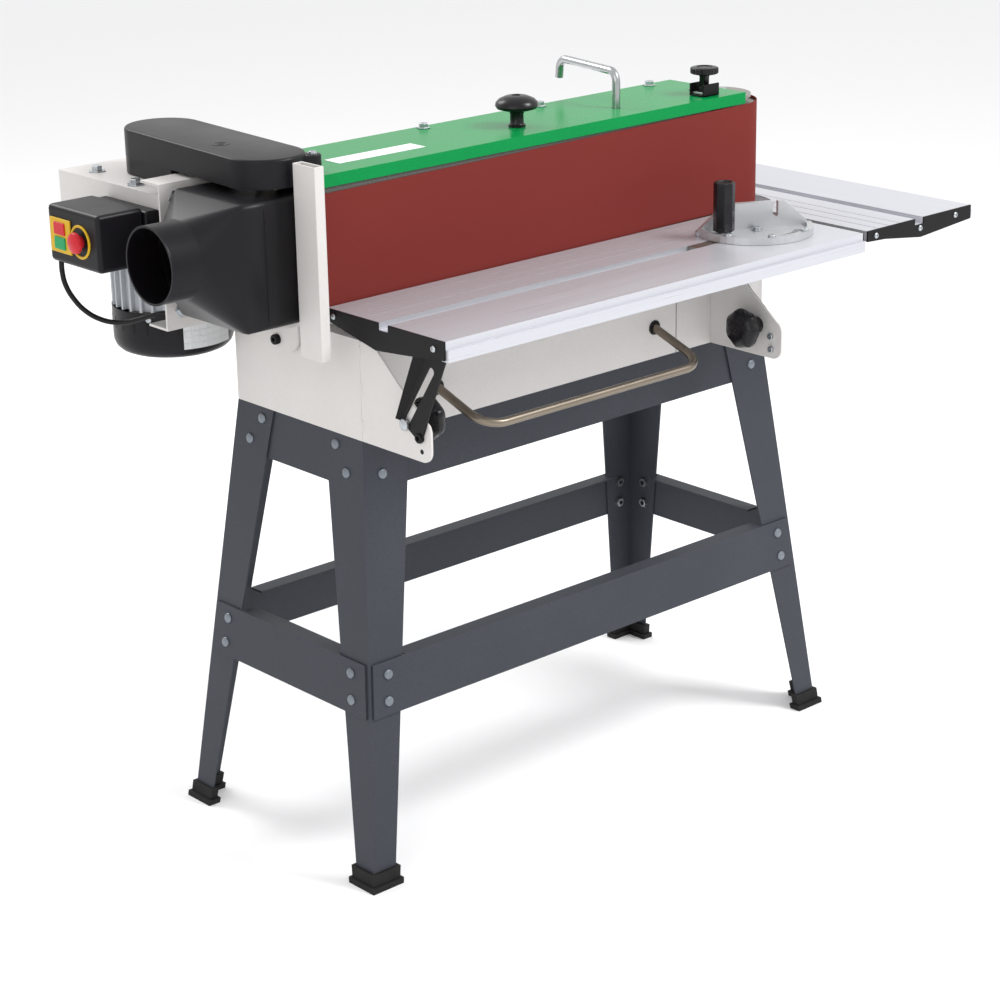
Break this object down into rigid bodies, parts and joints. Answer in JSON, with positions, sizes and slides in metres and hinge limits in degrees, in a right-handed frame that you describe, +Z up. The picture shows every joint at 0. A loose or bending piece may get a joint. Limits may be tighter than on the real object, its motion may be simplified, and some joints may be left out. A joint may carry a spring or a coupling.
{
  "type": "edge belt sander on stand",
  "caption": "Floor-standing edge belt sander: a vertical abrasive belt behind an aluminium work table, with end table, dust hood and mitre gauge on a splayed-leg stand.",
  "frame": {"origin": "centre of the machine's footprint box, on the floor", "axes": "+X along the sanding belt to the operator's right, -Y towards the operator, +Z up"},
  "size_m": [1.2734, 0.6406, 0.9947],
  "materials": {
    "bluegrey_powder_coat": "fine-textured powder coat, satin",
    "warm_grey_paint": "smooth satin paint",
    "green_paint": "gloss paint",
    "black_paint": "satin paint",
    "bronze_grey_paint": "satin paint on round bar",
    "aluminium_extrusion": "drawn and brushed along the length",
    "cast_aluminium": "fine cast skin with a machined rim",
    "zinc_plate": "bright zinc plate",
    "bare_steel": "turned or rolled bare steel",
    "black_plastic": "satin moulded plastic",
    "rubber": "matt moulded rubber",
    "abrasive_cloth": "fine aluminium oxide grit on cloth",
    "graphite_cloth": "graphite-coated cloth",
    "motor_grey_paint": "satin paint on a finned casting",
    "red_plastic": "semi-gloss moulded plastic",
    "green_plastic": "semi-gloss moulded plastic"
  },
  "bodies": {
    "stand": {"leg_front_left": "bluegrey_powder_coat", "leg_front_right": "bluegrey_powder_coat", "leg_back_left": "bluegrey_powder_coat", "leg_back_right": "bluegrey_powder_coat", "upper_rail_front": "bluegrey_powder_coat", "upper_rail_back": "bluegrey_powder_coat", "upper_rail_left": "bluegrey_powder_coat", "upper_rail_right": "bluegrey_powder_coat", "lower_rail_front": "bluegrey_powder_coat", "lower_rail_back": "bluegrey_powder_coat", "lower_rail_left": "bluegrey_powder_coat", "lower_rail_right": "bluegrey_powder_coat", "foot_front_left": "rubber", "foot_front_right": "rubber", "foot_back_left": "rubber", "foot_back_right": "rubber", "cabinet": "warm_grey_paint", "table_ear_left": "warm_grey_paint", "table_ear_right": "warm_grey_paint", "guard_bar": "bronze_grey_paint", "pivot_rail": "warm_grey_paint", "end_table_bracket": "black_paint", "end_table_top": "aluminium_extrusion", "end_table_cap": "black_paint"},
    "table_pivot": {"clamp_bolt_left": "zinc_plate", "clamp_bolt_right": "zinc_plate"},
    "left_knob": {"lock_knob_left": "black_plastic"},
    "right_knob": {"lock_knob_right": "black_plastic"},
    "table": {"table_top": "aluminium_extrusion", "table_cap_left": "black_paint", "table_cap_right": "black_paint", "support_arm_left": "black_paint", "support_arm_right": "black_paint"},
    "mitre_bar": {"mitre_bar": "bare_steel"},
    "mitre_head": {"mitre_head": "cast_aluminium"},
    "mitre_handle": {"mitre_handle": "black_plastic"},
    "head": {"head_frame": "warm_grey_paint", "platen_pad": "graphite_cloth", "sanding_belt": "abrasive_cloth", "top_cover": "green_paint", "stop_post": "warm_grey_paint", "dust_hood": "black_plastic", "drive_cover": "black_plastic", "motor_plate": "warm_grey_paint", "motor_channel": "warm_grey_paint", "switch_box": "black_plastic", "motor_housing": "motor_grey_paint", "fan_cover": "black_plastic", "drive_belt": "rubber", "motor_cable": "rubber"},
    "drive_roller": {"drive_roller": "bare_steel"},
    "idler_carriage": {"idler_carriage": "bare_steel"},
    "idler_roller": {"idler_roller": "bare_steel"},
    "motor_rotor": {"motor_rotor": "bare_steel"},
    "tension_lever": {"tension_lever": "zinc_plate"},
    "tracking_knob": {"tracking_knob": "black_plastic"},
    "top_knob": {"top_knob": "black_plastic"},
    "emergency_stop": {"emergency_stop": "red_plastic"},
    "start_button": {"start_button": "green_plastic"},
    "stop_button": {"stop_button": "red_plastic"}
  },
  "joints": [
    {"name": "head_tilt", "type": "hinge", "parent": "stand", "child": "head", "pos_m": [-0.01075, 0.06425, 0.744], "axis": [-1, 0, 0], "range_deg": [0, 3]},
    {"name": "table_tilt", "type": "hinge", "parent": "stand", "child": "table_pivot", "pos_m": [-0.01075, -0.22175, 0.642], "axis": [1, 0, 0], "range_deg": [0, 45]},
    {"name": "table_slide", "type": "slide", "parent": "table_pivot", "child": "table", "axis": [0, 0.5549, -0.8319], "range_m": [0, 0.0702]},
    {"name": "left_knob_turn", "type": "hinge", "parent": "table_pivot", "child": "left_knob", "pos_m": [-0.35175, -0.22175, 0.642], "axis": [1, 0, 0], "range_deg": [0, 360]},
    {"name": "right_knob_turn", "type": "hinge", "parent": "table_pivot", "child": "right_knob", "pos_m": [0.23025, -0.22175, 0.642], "axis": [1, 0, 0], "range_deg": [0, 360]},
    {"name": "mitre_slide", "type": "slide", "parent": "table", "child": "mitre_bar", "axis": [1, 0, 0], "range_m": [-0.5, 0.03]},
    {"name": "mitre_swivel", "type": "hinge", "parent": "mitre_bar", "child": "mitre_head", "pos_m": [0.27325, -0.19925, 0.77], "axis": [0, 0, 1], "range_deg": [-121, 0]},
    {"name": "mitre_handle_turn", "type": "hinge", "parent": "mitre_bar", "child": "mitre_handle", "pos_m": [0.21125, -0.19925, 0.8], "axis": [0, 0, 1], "range_deg": [0, 360]},
    {"name": "drive_roller_spin", "type": "hinge", "parent": "head", "child": "drive_roller", "pos_m": [-0.43435, -0.02275, 0.841], "axis": [0, 0, 1], "continuous": true},
    {"name": "idler_slide", "type": "slide", "parent": "head", "child": "idler_carriage", "axis": [-1, 0, 0], "range_m": [0, 0.01]},
    {"name": "idler_roller_spin", "type": "hinge", "parent": "idler_carriage", "child": "idler_roller", "pos_m": [0.37905, -0.02275, 0.841], "axis": [0, 0, 1], "continuous": true},
    {"name": "motor_rotor_spin", "type": "hinge", "parent": "head", "child": "motor_rotor", "pos_m": [-0.43575, 0.20825, 0.82], "axis": [0, 0, 1], "continuous": true},
    {"name": "tension_lever_swing", "type": "hinge", "parent": "head", "child": "tension_lever", "pos_m": [0.16525, -0.03375, 0.939], "axis": [0, 0, 1], "range_deg": [0, 120]},
    {"name": "tracking_knob_turn", "type": "hinge", "parent": "head", "child": "tracking_knob", "pos_m": [0.32025, -0.05635, 0.975], "axis": [0, 0, 1], "range_deg": [0, 360]},
    {"name": "top_knob_turn", "type": "hinge", "parent": "head", "child": "top_knob", "pos_m": [-0.02015, -0.03035, 0.97], "axis": [0, 0, 1], "range_deg": [0, 360]},
    {"name": "emergency_stop_push", "type": "slide", "parent": "head", "child": "emergency_stop", "axis": [1, 0, 0], "range_m": [0, 0.004]},
    {"name": "start_button_push", "type": "slide", "parent": "head", "child": "start_button", "axis": [1, 0, 0], "range_m": [0, 0.003], "stiffness_N_per_m": 400},
    {"name": "stop_button_push", "type": "slide", "parent": "head", "child": "stop_button", "axis": [1, 0, 0], "range_m": [0, 0.003], "stiffness_N_per_m": 400}
  ],
  "couplings": [
    {"joint": "table_slide", "follows": "table_tilt", "m_per_rad": 0.0893},
    {"joint": "idler_roller_spin", "follows": "drive_roller_spin", "ratio": 1},
    {"joint": "motor_rotor_spin", "follows": "drive_roller_spin", "ratio": 0.8333},
    {"joint": "tension_lever_swing", "follows": "idler_slide", "rad_per_m": 209.4}
  ]
}
